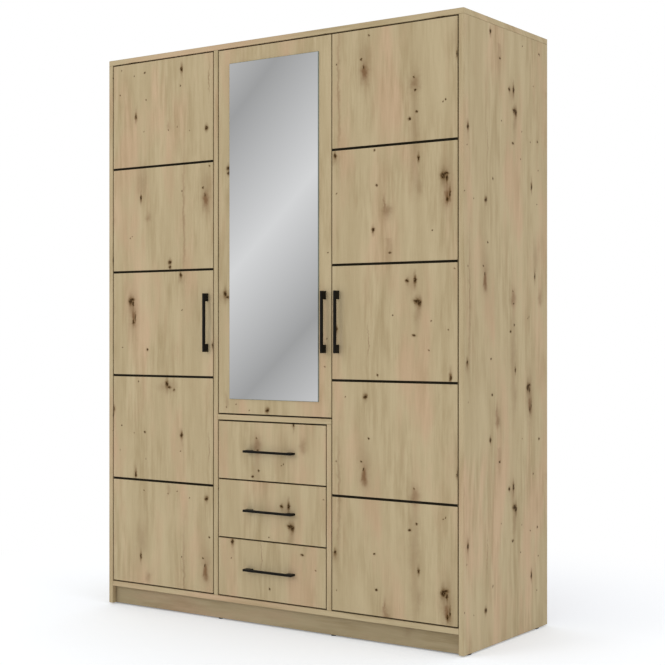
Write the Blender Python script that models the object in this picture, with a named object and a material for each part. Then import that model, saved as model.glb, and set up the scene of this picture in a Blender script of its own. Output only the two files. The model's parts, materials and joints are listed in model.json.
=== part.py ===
"""A three-door wardrobe: two tall doors with inlaid strips, a mirror door, and three drawers below it.

Metres, +Z up, front towards -Y. The origin is on the floor, below the middle of the wardrobe's
bounding box, which includes the handles. Every door turns on hinges whose hooked arms reach round
the door's edge to a pin in its hinge cup, and every drawer slides on a pair of runners.
"""

import math

import bmesh
import bpy
from mathutils import Matrix, Vector

# Overall sizes
WIDTH = 1.500
DEPTH = 0.580
BODY_HEIGHT = 2.000
GLIDE_HEIGHT = 0.004

# Boards
BOARD = 0.018
DOOR_BOARD = 0.018
BACK_BOARD = 0.003
BACK_INSET = 0.002
FOLD_WIDTH = 0.002
FOLD_SKIN = 0.001
EDGE_CHAMFER = 0.0006
PLINTH_HEIGHT = 0.064
PLINTH_SETBACK = 0.019
REAR_PLINTH_SETBACK = 0.010

# Bays: the centre bay is what the two outer bays leave
LEFT_BAY_WIDTH = 0.4835
RIGHT_BAY_WIDTH = 0.4805
DRAWER_BAY_HEIGHT = 0.613

# Gaps
FIT_GAP = 0.0003
DOOR_GAP = 0.004
LEVEL_GAP = 0.005
HINGE_GAP = 0.0045
DOOR_BACK_GAP = 0.002
SWING_CLEARANCE = 0.0011

# Shelves and rails
HAT_SPACE = 0.300
SHELF_SETBACK = 0.030
RAIL_DROP = 0.045
RAIL_WIDTH = 0.015
RAIL_HEIGHT = 0.030
RAIL_WALL = 0.0012
CENTRE_SPACES = 3

# Strips inlaid in the tall doors
STRIPS = 4
STRIP_WIDTH = 0.0078
STRIP_LIFT = 0.0016
STRIP_THICKNESS = 0.0017

# Mirror
MIRROR_MARGIN = 0.050
MIRROR_THICKNESS = 0.004

# Handles
HANDLE_LENGTH = 0.205
HANDLE_WIDTH = 0.008
HANDLE_BAR = 0.009
HANDLE_FOOT = 0.028
HANDLE_REACH = 0.025
HANDLE_INSET = 0.0245
HANDLE_HEIGHT = 1.032

# Hinges
HINGES_PER_DOOR = 3
HINGE_END_DISTANCE = 0.110
CUP_RADIUS = 0.0175
CUP_PAST_PIN = 0.0059
CUP_CLEARANCE = 0.0018
PIN_DEPTH = 0.011
ARM_HEIGHT = 0.012
ARM_THICKNESS = 0.0025
ARM_CHANNEL = 0.009
ARM_REACH = 0.050
ARM_PAST_PIN = 0.0205
ARM_BEND = 0.003
ARM_SPOKE_ANGLE = math.radians(20)
EYE_RADIUS = 0.0032
PIN_RADIUS = 0.0016
PLATE_THICKNESS = 0.003
PLATE_WIDTH = 0.020
PLATE_HEIGHT = 0.052
PLATE_SETBACK = 0.012

# Drawers
DRAWERS = 3
RUNNER_SPACE = 0.0125
RUNNER_LENGTH = 0.450
RUNNER_HEIGHT = 0.036
RUNNER_CLEARANCE = 0.002
RUNNER_STEEL = 0.0012
BOX_WALL = 0.012
BOX_BASE = 0.003
BOX_BASE_RISE = 0.010
BOX_LIFT = 0.022
BOX_DROP = 0.028

# Glides
GLIDE_LENGTH = 0.025
GLIDE_WIDTH = 0.015
GLIDE_FRONT_DISTANCE = 0.045
GLIDE_REAR_DISTANCE = 0.068

# Places that follow from the sizes
LEFT = -WIDTH / 2
RIGHT = WIDTH / 2
FRONT = (HANDLE_REACH - DEPTH) / 2
REAR = FRONT + DEPTH
BOARD_REAR = REAR - BACK_BOARD - FIT_GAP
BASE = GLIDE_HEIGHT
TOP = BASE + BODY_HEIGHT
UNDER_TOP = TOP - BOARD
ON_BOTTOM = BASE + PLINTH_HEIGHT + BOARD
UNDER_SHELF = ON_BOTTOM + DRAWER_BAY_HEIGHT
ON_SHELF = UNDER_SHELF + BOARD
DOOR_BACK = FRONT + DOOR_BOARD
INNER_FRONT = DOOR_BACK + DOOR_BACK_GAP

LEFT_BAY = (LEFT + BOARD, LEFT + BOARD + LEFT_BAY_WIDTH)
RIGHT_BAY = (RIGHT - BOARD - RIGHT_BAY_WIDTH, RIGHT - BOARD)
CENTRE_BAY = (LEFT_BAY[1] + BOARD, RIGHT_BAY[0] - BOARD)

# The pin sits so far in from the door's edge that its front corner, as it swings, clears the board
SWING = HINGE_GAP - SWING_CLEARANCE
PIN_INSET = (PIN_DEPTH**2 - SWING**2) / (2 * SWING)
HOOK_DEPTH = PIN_INSET + SWING + SWING_CLEARANCE
ARM_END = HOOK_DEPTH + ARM_REACH
ARM_PANEL = FIT_GAP - PIN_INSET - HINGE_GAP

# Where two faces of a round piece turn by less than this, they shade as one
SHARP_ANGLE = math.radians(30)

COLOURS = {
    "oak_decor": ((0.42, 0.33, 0.19), 0.5, 0.0),
    "black_trim": ((0.02, 0.02, 0.02), 0.45, 0.0),
    "handle_black": ((0.015, 0.015, 0.015), 0.4, 1.0),
    "mirror_silver": ((0.85, 0.86, 0.88), 0.03, 1.0),
    "back_hdf": ((0.72, 0.68, 0.6), 0.7, 0.0),
    "drawer_foil": ((0.62, 0.61, 0.58), 0.55, 0.0),
    "zinc_steel": ((0.7, 0.7, 0.7), 0.35, 1.0),
    "glide_black": ((0.03, 0.03, 0.03), 0.6, 0.0),
}


def clear_scene():
    for obj in list(bpy.data.objects):
        bpy.data.objects.remove(obj)


def make_material(name):
    colour, roughness, metallic = COLOURS[name]
    material = bpy.data.materials.new(name)
    material.use_nodes = True
    shader = material.node_tree.nodes["Principled BSDF"]
    shader.inputs["Base Color"].default_value = (*colour, 1.0)
    shader.inputs["Roughness"].default_value = roughness
    shader.inputs["Metallic"].default_value = metallic
    return material


def add_object(name, mesh, finish, parent=None):
    """Links a mesh whose points are in world places, with its origin moved onto its parent."""
    obj = bpy.data.objects.new(name, mesh)
    bpy.context.scene.collection.objects.link(obj)
    if finish:
        mesh.materials.clear()
        mesh.materials.append(bpy.data.materials[finish])
    if parent:
        mesh.transform(Matrix.Translation(-parent.location))
        obj.parent = parent
    return obj


def add_pivot(name, place):
    pivot = bpy.data.objects.new(name, None)
    bpy.context.scene.collection.objects.link(pivot)
    pivot.location = place
    return pivot


def mesh_from(shape, name):
    bmesh.ops.recalc_face_normals(shape, faces=shape.faces)
    mesh = bpy.data.meshes.new(name)
    shape.to_mesh(mesh)
    shape.free()
    return mesh


def shaded_round(mesh):
    """Round stretches shade smooth, and edges turned by more than SHARP_ANGLE stay sharp."""
    mesh.shade_smooth()
    mesh.set_sharp_from_angle(angle=SHARP_ANGLE)
    return mesh


def box_mesh(name, low, high, chamfer=0.0):
    low, high = Vector(low), Vector(high)
    shape = bmesh.new()
    size = Matrix.Diagonal((*(high - low), 1.0))
    bmesh.ops.create_cube(shape, size=1.0, matrix=Matrix.Translation((low + high) / 2) @ size)
    if chamfer:
        bmesh.ops.bevel(shape, geom=shape.edges, offset=chamfer, segments=1, affect="EDGES")
    return mesh_from(shape, name)


def board(name, x, y, z, finish="oak_decor", parent=None):
    """A board between the (low, high) pairs x, y and z, with its edges broken."""
    low, high = zip(x, y, z)
    return add_object(name, box_mesh(name, low, high, EDGE_CHAMFER), finish, parent)


def extruded_mesh(name, outline, start, end, to_world):
    """The outline, points (a, b), swept from start to end; to_world maps (a, b, swept) to the world."""
    shape = bmesh.new()
    near = [shape.verts.new(to_world(a, b, start)) for a, b in outline]
    far = [shape.verts.new(to_world(a, b, end)) for a, b in outline]
    shape.faces.new(near)
    shape.faces.new(list(reversed(far)))
    for i in range(len(outline)):
        j = (i + 1) % len(outline)
        shape.faces.new((near[j], near[i], far[i], far[j]))
    return shaded_round(mesh_from(shape, name))


def cylinder_mesh(name, radius, start, end, segments=32):
    start, end = Vector(start), Vector(end)
    shape = bmesh.new()
    turn = (end - start).to_track_quat("Z", "Y").to_matrix().to_4x4()
    bmesh.ops.create_cone(
        shape, cap_ends=True, segments=segments, radius1=radius, radius2=radius,
        depth=(end - start).length, matrix=Matrix.Translation((start + end) / 2) @ turn,
    )
    return shaded_round(mesh_from(shape, name))


def helper(name, mesh, parent=None):
    """A cutter, or a shape to join: kept out of the render and drawn as wire."""
    obj = add_object(name, mesh, None, parent)
    obj.hide_render = True
    obj.display_type = "WIRE"
    return obj


def combine(obj, operation, other):
    modifier = obj.modifiers.new(other.name, "BOOLEAN")
    modifier.operation = operation
    modifier.solver = "EXACT"
    modifier.object = other


def carve(obj, cutters):
    for cutter in cutters:
        combine(obj, "DIFFERENCE", cutter)


def arc(radius, start, end, steps, centre=(0.0, 0.0)):
    for i in range(steps + 1):
        angle = start + (end - start) * i / steps
        yield centre[0] + radius * math.cos(angle), centre[1] + radius * math.sin(angle)


def inside(bay):
    """A bay's left and right faces, less the fit gap."""
    return bay[0] + FIT_GAP, bay[1] - FIT_GAP


# Carcass

def build_carcass():
    depth = (FRONT, BOARD_REAR)
    across = (LEFT + BOARD + FIT_GAP, RIGHT - BOARD - FIT_GAP)
    under_top = UNDER_TOP - FIT_GAP
    board("left_side_panel", (LEFT, LEFT + BOARD), depth, (BASE, under_top))
    board("right_side_panel", (RIGHT - BOARD, RIGHT), depth, (BASE, under_top))
    board("top_panel", (LEFT, RIGHT), depth, (UNDER_TOP, TOP))
    board("bottom_panel", across, depth, (ON_BOTTOM - BOARD, ON_BOTTOM))

    plinth_height = (BASE, ON_BOTTOM - BOARD - FIT_GAP)
    plinth_front = FRONT + PLINTH_SETBACK
    board("plinth_board", across, (plinth_front, plinth_front + BOARD), plinth_height)
    rear = BOARD_REAR - REAR_PLINTH_SETBACK
    board("rear_plinth_board", across, (rear - BOARD, rear), plinth_height)

    standing = ON_BOTTOM + FIT_GAP
    left_partition = (LEFT_BAY[1], CENTRE_BAY[0])
    right_partition = (CENTRE_BAY[1], RIGHT_BAY[0])
    board("left_partition", left_partition, depth, (standing, under_top))
    board("right_partition_lower", right_partition, depth, (standing, UNDER_SHELF - FIT_GAP))
    behind_door = (INNER_FRONT, BOARD_REAR)
    board("right_partition_upper", right_partition, behind_door, (ON_SHELF + FIT_GAP, under_top))
    shelf_across = (CENTRE_BAY[0] + FIT_GAP, RIGHT_BAY[0])
    board("drawer_shelf", shelf_across, depth, (UNDER_SHELF, ON_SHELF))


def build_back():
    """One sheet of fibreboard, folded for packing: two grooves leave a thin skin behind."""
    x = (LEFT + BACK_INSET, RIGHT - BACK_INSET)
    z = (BASE + PLINTH_HEIGHT + BACK_INSET, TOP - BACK_INSET)
    back = board("back_board", x, (REAR - BACK_BOARD, REAR), z, "back_hdf")
    beyond = (z[0] - BACK_BOARD, z[1] + BACK_BOARD)
    folds = {"left": (LEFT_BAY[1] + CENTRE_BAY[0]) / 2, "right": (CENTRE_BAY[1] + RIGHT_BAY[0]) / 2}
    for side, middle in folds.items():
        low = (middle - FOLD_WIDTH / 2, REAR - BACK_BOARD * 2, beyond[0])
        high = (middle + FOLD_WIDTH / 2, REAR - FOLD_SKIN, beyond[1])
        carve(back, [helper(f"{side}_fold_cutter", box_mesh("fold", low, high))])


def build_glides():
    x_places = {"left": LEFT + BOARD / 2, "right": RIGHT - BOARD / 2}
    y_places = {"front": FRONT + GLIDE_FRONT_DISTANCE, "rear": BOARD_REAR - GLIDE_REAR_DISTANCE}
    for side, x in x_places.items():
        for end, y in y_places.items():
            straight = (GLIDE_LENGTH - GLIDE_WIDTH) / 2
            outline = [*arc(GLIDE_WIDTH / 2, 0, math.pi, 12, (x, y + straight)),
                       *arc(GLIDE_WIDTH / 2, math.pi, 2 * math.pi, 12, (x, y - straight))]
            mesh = extruded_mesh("glide", outline, 0, GLIDE_HEIGHT - FIT_GAP, lambda a, b, c: (a, b, c))
            add_object(f"{side}_{end}_glide", mesh, "glide_black")


# Shelves and rails

def build_hanging_bay(side, bay):
    shelf_top = UNDER_TOP - HAT_SPACE
    y = (INNER_FRONT + SHELF_SETBACK, BOARD_REAR)
    board(f"{side}_hat_shelf", inside(bay), y, (shelf_top - BOARD, shelf_top))

    centre_y = (y[0] + y[1]) / 2
    centre_z = shelf_top - BOARD - RAIL_DROP
    straight = (RAIL_HEIGHT - RAIL_WIDTH) / 2

    def oval(radius):
        return [*arc(radius, 0, math.pi, 10, (centre_y, centre_z + straight)),
                *arc(radius, math.pi, 2 * math.pi, 10, (centre_y, centre_z - straight))]

    def along(a, b, c):
        return c, a, b

    start, end = inside(bay)
    rail_mesh = extruded_mesh("rail", oval(RAIL_WIDTH / 2), start, end, along)
    rail = add_object(f"{side}_hanging_rail", rail_mesh, "zinc_steel")
    hollow = extruded_mesh("hollow", oval(RAIL_WIDTH / 2 - RAIL_WALL), start - BOARD, end + BOARD, along)
    carve(rail, [helper(f"{side}_rail_cutter", hollow)])


def build_centre_shelves():
    clear = (UNDER_TOP - ON_SHELF - (CENTRE_SPACES - 1) * BOARD) / CENTRE_SPACES
    y = (INNER_FRONT + SHELF_SETBACK, BOARD_REAR)
    for i, name in enumerate(("lower", "upper")[: CENTRE_SPACES - 1]):
        z = ON_SHELF + (i + 1) * clear + i * BOARD
        board(f"centre_{name}_shelf", inside(CENTRE_BAY), y, (z, z + BOARD))


# Handles

def add_handle(name, centre, upright, parent):
    """A bar with a foot at each end, cut from one outline; centre is its middle on the front's face."""
    half, bar_back = HANDLE_LENGTH / 2, HANDLE_REACH - HANDLE_BAR
    outline = [
        (-half, FIT_GAP), (-half, HANDLE_REACH), (half, HANDLE_REACH), (half, FIT_GAP),
        (half - HANDLE_FOOT, FIT_GAP), (half - HANDLE_FOOT, bar_back),
        (HANDLE_FOOT - half, bar_back), (HANDLE_FOOT - half, FIT_GAP),
    ]

    def to_world(along, out, across):
        if upright:
            return centre[0] + across, FRONT - out, centre[1] + along
        return centre[0] + along, FRONT - out, centre[1] + across

    mesh = extruded_mesh(name, outline, -HANDLE_WIDTH / 2, HANDLE_WIDTH / 2, to_world)
    shape = bmesh.new()
    shape.from_mesh(mesh)
    bmesh.ops.bevel(shape, geom=shape.edges, offset=EDGE_CHAMFER, segments=1, affect="EDGES")
    shape.to_mesh(mesh)
    shape.free()
    return add_object(name, mesh, "handle_black", parent)


# Doors and hinges

def hinge_heights(bottom, top):
    first, last = bottom + HINGE_END_DISTANCE, top - HINGE_END_DISTANCE
    names = ("lower", "middle", "upper")
    step = (last - first) / (HINGES_PER_DOOR - 1)
    return {names[i]: first + i * step for i in range(HINGES_PER_DOOR)}


def arm_outline():
    """The arm seen from above, with the pin at (0, 0): a pointing into the bay, b towards the back.

    A spoke leaves the pin, turns to the back out of the cup, turns again clear of the corner that
    the door swings through, and meets the channel that lies on the board."""
    half = ARM_THICKNESS / 2
    slope, thick = math.tan(ARM_SPOKE_ANGLE), half / math.cos(ARM_SPOKE_ANGLE)
    aside = (-half * math.sin(ARM_SPOKE_ANGLE), half * math.cos(ARM_SPOKE_ANGLE))
    out, back = ARM_PAST_PIN, HOOK_DEPTH + ARM_THICKNESS
    bend = (out - ARM_THICKNESS - ARM_BEND, HOOK_DEPTH - ARM_BEND)
    channel = ARM_PANEL + ARM_CHANNEL
    return [
        aside, (-aside[0], -aside[1]), (out, out * slope - thick),
        *arc(ARM_BEND + ARM_THICKNESS, 0, math.pi / 2, 6, bend),
        (channel, back), (channel, ARM_END), (ARM_PANEL, ARM_END), (ARM_PANEL, HOOK_DEPTH),
        *arc(ARM_BEND, math.pi / 2, 0, 6, bend),
        (out - ARM_THICKNESS, (out - ARM_THICKNESS) * slope + thick),
    ]


def hinge_arm_mesh(into_bay):
    """The hooked arm, its pin eye and its mounting plate as one piece, round the pin at the origin."""
    half = ARM_HEIGHT / 2

    def to_world(a, b, height):
        return a * into_bay, b, height

    arm = add_object("arm_blank", extruded_mesh("arm", arm_outline(), -half, half, to_world), "zinc_steel")
    eye = helper("eye_blank", cylinder_mesh("eye", EYE_RADIUS, (0, 0, -half), (0, 0, half), 20))
    plate_y = (ARM_END - PLATE_SETBACK - PLATE_WIDTH, ARM_END - PLATE_SETBACK)
    plate_x = sorted((ARM_PANEL * into_bay, (ARM_PANEL + PLATE_THICKNESS) * into_bay))
    low, high = zip(plate_x, plate_y, (-PLATE_HEIGHT / 2, PLATE_HEIGHT / 2))
    plate = helper("plate_blank", box_mesh("plate", low, high, EDGE_CHAMFER))
    bore = cylinder_mesh("bore", PIN_RADIUS, (0, 0, -ARM_HEIGHT), (0, 0, ARM_HEIGHT), 16)
    pin_hole = helper("pin_cutter", bore)
    combine(arm, "UNION", eye)
    combine(arm, "UNION", plate)
    combine(arm, "DIFFERENCE", pin_hole)
    bpy.context.view_layer.update()
    mesh = bpy.data.meshes.new_from_object(arm.evaluated_get(bpy.context.evaluated_depsgraph_get()))
    for blank in (arm, eye, plate, pin_hole):
        bpy.data.objects.remove(blank)
    return shaded_round(mesh)


def build_door(name, edges, bottom, arm_mesh, hinge_on_left):
    """A door between two edges, its pivot on the hinge pins, with cup bores and hinge arms."""
    left, right = edges
    top = UNDER_TOP - LEVEL_GAP
    into_bay = 1 if hinge_on_left else -1
    hinge_edge = left if hinge_on_left else right
    pin = (hinge_edge + into_bay * PIN_INSET, FRONT + PIN_DEPTH)
    pivot = add_pivot(f"{name}_door_pivot", (*pin, 0.0))
    door = board(f"{name}_door", edges, (FRONT, DOOR_BACK), (bottom, top), parent=pivot)

    cup_x = pin[0] + into_bay * CUP_PAST_PIN
    cup_floor = pin[1] - EYE_RADIUS - CUP_CLEARANCE
    for place, z in hinge_heights(bottom, top).items():
        start, end = (cup_x, cup_floor, z), (cup_x, DOOR_BACK + CUP_RADIUS, z)
        bore = cylinder_mesh("cup_bore", CUP_RADIUS, start, end)
        carve(door, [helper(f"{name}_door_{place}_cup_cutter", bore, pivot)])
        arm = bpy.data.objects.new(f"{name}_door_{place}_hinge_arm", arm_mesh)
        bpy.context.scene.collection.objects.link(arm)
        arm.location = (*pin, z)

    free_edge, outward = (right, -1) if hinge_on_left else (left, 1)
    handle_x = free_edge + outward * HANDLE_INSET
    add_handle(f"{name}_door_handle", (handle_x, BASE + HANDLE_HEIGHT), True, pivot)
    return door, pivot


def add_strips(name, door, edges, bottom, pivot):
    """Strips set flush in grooves across the door, the upper edge of each just over an even division of it."""
    top = UNDER_TOP - LEVEL_GAP
    pitch = (top - bottom) / (STRIPS + 1)
    for i in range(STRIPS):
        upper = bottom + (i + 1) * pitch + STRIP_LIFT
        strip_z = (upper - STRIP_WIDTH, upper)
        low, high = zip(edges, (FRONT, FRONT + STRIP_THICKNESS), strip_z)
        strip = box_mesh("strip", low, high)
        add_object(f"{name}_door_strip_{i + 1}", strip, "black_trim", pivot)
        low = (edges[0] - BOARD, FRONT - BOARD, strip_z[0] - FIT_GAP)
        high = (edges[1] + BOARD, FRONT + STRIP_THICKNESS + FIT_GAP, strip_z[1] + FIT_GAP)
        carve(door, [helper(f"{name}_groove_cutter_{i + 1}", box_mesh("groove", low, high), pivot)])


def build_doors():
    bottom = ON_BOTTOM + LEVEL_GAP
    left_edges = (LEFT_BAY[0] + HINGE_GAP, LEFT_BAY[1] - DOOR_GAP)
    mirror_edges = (CENTRE_BAY[0] + HINGE_GAP, RIGHT_BAY[0])
    right_edges = (RIGHT_BAY[0] + DOOR_GAP, RIGHT_BAY[1] - HINGE_GAP)
    left_arm, right_arm = hinge_arm_mesh(1), hinge_arm_mesh(-1)

    door, pivot = build_door("left", left_edges, bottom, left_arm, True)
    add_strips("left", door, left_edges, bottom, pivot)
    door, pivot = build_door("right", right_edges, bottom, right_arm, False)
    add_strips("right", door, right_edges, bottom, pivot)

    bottom = ON_SHELF + LEVEL_GAP
    door, pivot = build_door("mirror", mirror_edges, bottom, left_arm, True)
    x = (mirror_edges[0] + MIRROR_MARGIN, mirror_edges[1] - MIRROR_MARGIN)
    z = (bottom + MIRROR_MARGIN, UNDER_TOP - LEVEL_GAP - MIRROR_MARGIN)
    low, high = zip(x, (FRONT - MIRROR_THICKNESS, FRONT - FIT_GAP), z)
    add_object("mirror_glass", box_mesh("mirror_glass", low, high, EDGE_CHAMFER), "mirror_silver", pivot)


# Drawers

def add_runner(name, bay_face, into_bay, z):
    """A steel channel, open towards the drawer."""
    back, steel = bay_face + into_bay * FIT_GAP, RUNNER_STEEL
    mouth = RUNNER_SPACE - RUNNER_CLEARANCE
    half = RUNNER_HEIGHT / 2
    lip = half - 3 * steel
    outline = [
        (0, -half), (mouth, -half), (mouth, -lip), (mouth - steel, -lip), (mouth - steel, steel - half),
        (steel, steel - half), (steel, half - steel), (mouth - steel, half - steel), (mouth - steel, lip),
        (mouth, lip), (mouth, half), (0, half),
    ]

    def to_world(out, up, along):
        return back + into_bay * out, along, z + up

    mesh = extruded_mesh(name, outline, INNER_FRONT, INNER_FRONT + RUNNER_LENGTH, to_world)
    add_object(name, mesh, "zinc_steel")


def build_drawer(name, bottom, height):
    pivot = add_pivot(f"{name}_drawer_slide", ((CENTRE_BAY[0] + CENTRE_BAY[1]) / 2, FRONT, bottom))
    front_edges = (CENTRE_BAY[0] + DOOR_GAP, CENTRE_BAY[1] - DOOR_GAP)
    board(f"{name}_drawer_front", front_edges, (FRONT, DOOR_BACK), (bottom, bottom + height), parent=pivot)
    centre = (pivot.location.x, bottom + height / 2)
    add_handle(f"{name}_drawer_handle", centre, False, pivot)

    x = (CENTRE_BAY[0] + RUNNER_SPACE, CENTRE_BAY[1] - RUNNER_SPACE)
    y = (DOOR_BACK + FIT_GAP, DOOR_BACK + FIT_GAP + RUNNER_LENGTH)
    z = (bottom + BOX_LIFT, bottom + height - BOX_DROP)
    box = board(f"{name}_drawer_box", x, y, z, "drawer_foil", pivot)
    base = z[0] + BOX_BASE_RISE
    wall = BOX_WALL
    inner_low, inner_high = (x[0] + wall, y[0] + wall), (x[1] - wall, y[1] - wall)
    above = box_mesh("above", (*inner_low, base + BOX_BASE), (*inner_high, z[1] + wall))
    below = box_mesh("below", (*inner_low, z[0] - wall), (*inner_high, base))
    carve(box, [helper(f"{name}_box_cutter", above, pivot), helper(f"{name}_base_cutter", below, pivot)])

    middle = (z[0] + z[1]) / 2
    add_runner(f"{name}_drawer_left_runner", CENTRE_BAY[0], 1, middle)
    add_runner(f"{name}_drawer_right_runner", CENTRE_BAY[1], -1, middle)


def build_drawers():
    height = (DRAWER_BAY_HEIGHT - (DRAWERS + 1) * LEVEL_GAP) / DRAWERS
    for i, name in enumerate(("bottom", "middle", "top")):
        build_drawer(name, ON_BOTTOM + LEVEL_GAP + i * (height + LEVEL_GAP), height)


clear_scene()
for finish_name in COLOURS:
    make_material(finish_name)
build_carcass()
build_back()
build_glides()
build_hanging_bay("left", LEFT_BAY)
build_hanging_bay("right", RIGHT_BAY)
build_centre_shelves()
build_doors()
build_drawers()
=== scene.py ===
# %% [markdown]
# # A wardrobe with three doors and three drawers
#
# The wardrobe is flat-pack furniture: boards faced with a printed oak paper, black bar handles, a mirror
# glued on the middle door, and black strips let into the two tall doors. This lesson gives a ready CAD
# model its looks. The model arrives as a frame of named nodes that ride on moving bodies, so nothing here
# moves or resizes a board: we finish surfaces, and add the small pieces that a joiner would see up close.

# %% Load the frame
import json
import math

import bmesh
import bpy
from mathutils import Euler, Matrix, Vector


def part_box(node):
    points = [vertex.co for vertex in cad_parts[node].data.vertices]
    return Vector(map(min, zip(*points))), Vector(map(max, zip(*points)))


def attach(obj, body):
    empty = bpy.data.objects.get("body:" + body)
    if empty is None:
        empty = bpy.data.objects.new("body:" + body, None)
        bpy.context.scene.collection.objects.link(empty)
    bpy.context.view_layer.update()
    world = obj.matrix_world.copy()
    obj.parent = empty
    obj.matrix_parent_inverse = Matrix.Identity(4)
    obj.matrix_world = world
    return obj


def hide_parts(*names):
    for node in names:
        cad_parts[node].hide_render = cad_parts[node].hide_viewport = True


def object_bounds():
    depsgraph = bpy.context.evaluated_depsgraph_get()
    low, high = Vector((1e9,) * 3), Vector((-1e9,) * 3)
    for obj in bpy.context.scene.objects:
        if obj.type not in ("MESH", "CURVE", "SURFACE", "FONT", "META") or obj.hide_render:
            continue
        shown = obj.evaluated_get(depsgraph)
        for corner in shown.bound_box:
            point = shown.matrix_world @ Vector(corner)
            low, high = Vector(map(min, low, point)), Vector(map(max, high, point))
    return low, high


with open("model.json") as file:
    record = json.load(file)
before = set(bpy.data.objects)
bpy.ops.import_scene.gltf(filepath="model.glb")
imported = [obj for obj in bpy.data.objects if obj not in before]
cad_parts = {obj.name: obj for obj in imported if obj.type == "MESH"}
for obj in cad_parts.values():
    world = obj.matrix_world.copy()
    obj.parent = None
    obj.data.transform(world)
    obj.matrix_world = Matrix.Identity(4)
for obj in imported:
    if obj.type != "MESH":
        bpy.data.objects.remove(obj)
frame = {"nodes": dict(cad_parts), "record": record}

nodes = frame["nodes"]
cad_low, cad_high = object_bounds()
print("CAD box", [round(v, 4) for v in (*cad_low, *cad_high)])

# %% [markdown]
# ## The camera
#
# The wardrobe is seen from its right, from a metre above the floor. The camera is level, so upright edges
# stay upright, and the long lens keeps the far side nearly as tall as the near one, as in a catalogue.

# %% Camera
CAMERA_PLACE = (2.8674, -4.0176, 1.0015)
CAMERA_TURN = math.radians(34.915)
LENS = 75.21

camera_data = bpy.data.cameras.new("camera")
camera_data.lens = LENS
camera = bpy.data.objects.new("camera", camera_data)
camera.location = CAMERA_PLACE
camera.rotation_euler = Euler((math.pi / 2, 0.0, CAMERA_TURN))
bpy.context.scene.collection.objects.link(camera)
bpy.context.scene.camera = camera
bpy.context.scene.view_settings.view_transform = "Standard"
print("camera at", CAMERA_PLACE, "with a lens of", LENS, "mm")

# %% [markdown]
# ## Shader maths that reads like maths
#
# A material is a graph of nodes, and a long graph is hard to read as clicks or as links. This small class
# wraps one output of a node, so that Python's own signs add Math nodes: `1 - mask * 0.5` makes two nodes.
# Any other node comes from `node`, which sets the node's choices first and then fills or links its sockets.

# %% The Value class
class Value:
    """One output of a shader node: a number, a colour or a vector that can vary over a surface."""

    def __init__(self, tree, socket):
        self.tree, self.socket = tree, socket

    def node(self, kind, settings=None, sockets=None, output=0):
        """Adds a node to the same tree, sets its choices, fills its sockets, and returns one output."""
        made = self.tree.nodes.new("ShaderNode" + kind)
        for name, choice in (settings or {}).items():
            setattr(made, name, choice)
        for name, given in (sockets or {}).items():
            if isinstance(given, Value):
                self.tree.links.new(given.socket, made.inputs[name])
            else:
                made.inputs[name].default_value = given
        return Value(self.tree, made.outputs[output])

    def math(self, operation, *terms, clamp=False):
        return self.node("Math", {"operation": operation, "use_clamp": clamp}, dict(enumerate(terms)))

    def __add__(self, other):
        return self.math("ADD", self, other)

    __radd__ = __add__

    def __sub__(self, other):
        return self.math("SUBTRACT", self, other)

    def __rsub__(self, other):
        return self.math("SUBTRACT", other, self)

    def __mul__(self, other):
        return self.math("MULTIPLY", self, other)

    __rmul__ = __mul__

    def __truediv__(self, other):
        return self.math("DIVIDE", self, other)

    def wrap(self, period):
        return self.math("FLOORED_MODULO", self, period)

    def lowest(self, other):
        return self.math("MINIMUM", self, other)

    def highest(self, other):
        return self.math("MAXIMUM", self, other)

    def rises(self, low, high):
        """0 below low, 1 above high, and a smooth step between them. With low above high it falls."""
        return self.node("MapRange", {"interpolation_type": "SMOOTHSTEP"},
                         {"Value": self, "From Min": low, "From Max": high})

    def mix(self, first, second):
        """A colour from first to second as this value goes from 0 to 1."""
        return self.node("Mix", {"data_type": "RGBA"}, {0: self, 6: first, 7: second}, 2)

    def vector(self, operation, *terms, output=0):
        return self.node("VectorMath", {"operation": operation}, dict(enumerate(terms)), output)

    def parts(self):
        """The x, y and z of this vector, as three values."""
        split = self.node("SeparateXYZ", {}, {"Vector": self})
        return [Value(self.tree, output) for output in split.socket.node.outputs]

    def noise(self, place, scale, detail=2.0, roughness=0.5, distortion=0.0):
        return self.node("TexNoise", {}, {"Vector": place, "Scale": scale, "Detail": detail,
                                          "Roughness": roughness, "Distortion": distortion})


print("Value is ready")

# %% [markdown]
# A finish is one material in the making. It starts from Blender's Principled shader, and hands out the two
# coordinates that the boards need: where a point lies, in metres, and which way the surface faces. Colours
# are written as on a paint chart, and turned into the linear numbers that shaders work with.

# %% Colours and the Finish class
def linear(level):
    """A paint chart's level, from 0 to 1, as a shader's linear number."""
    if level <= 0.04045:
        return level / 12.92
    return ((level + 0.055) / 1.055) ** 2.4


def rgb(red, green, blue):
    """A colour whose parts are given from 0 to 255."""
    return (linear(red / 255), linear(green / 255), linear(blue / 255), 1.0)


def grey(level):
    """A grey given as a linear number, which is how light is measured."""
    return (level, level, level, 1.0)


class Finish:
    """A material being made: `place` is where a point lies in metres, and `set` fills the shader."""

    def __init__(self, name):
        self.material = bpy.data.materials.new(name)
        self.material.use_nodes = True
        tree = self.material.node_tree
        self.shader = tree.nodes["Principled BSDF"]
        self.start = Value(tree, None)
        self.place = self.start.node("TexCoord", output=3)
        self.normal = self.start.node("TexCoord", output=1)

    def set(self, **sockets):
        """Fills the shader's sockets, such as Base_Color, with numbers or values. Returns the material."""
        for name, given in sockets.items():
            socket = self.shader.inputs[name.replace("_", " ")]
            if isinstance(given, Value):
                given.tree.links.new(given.socket, socket)
            else:
                socket.default_value = given
        return self.material

    def bump(self, height, strength, distance=0.001):
        return self.start.node("Bump", {}, {"Height": height, "Strength": strength, "Distance": distance})


WHITE = grey(1.0)
print("Finish is ready")

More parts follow.
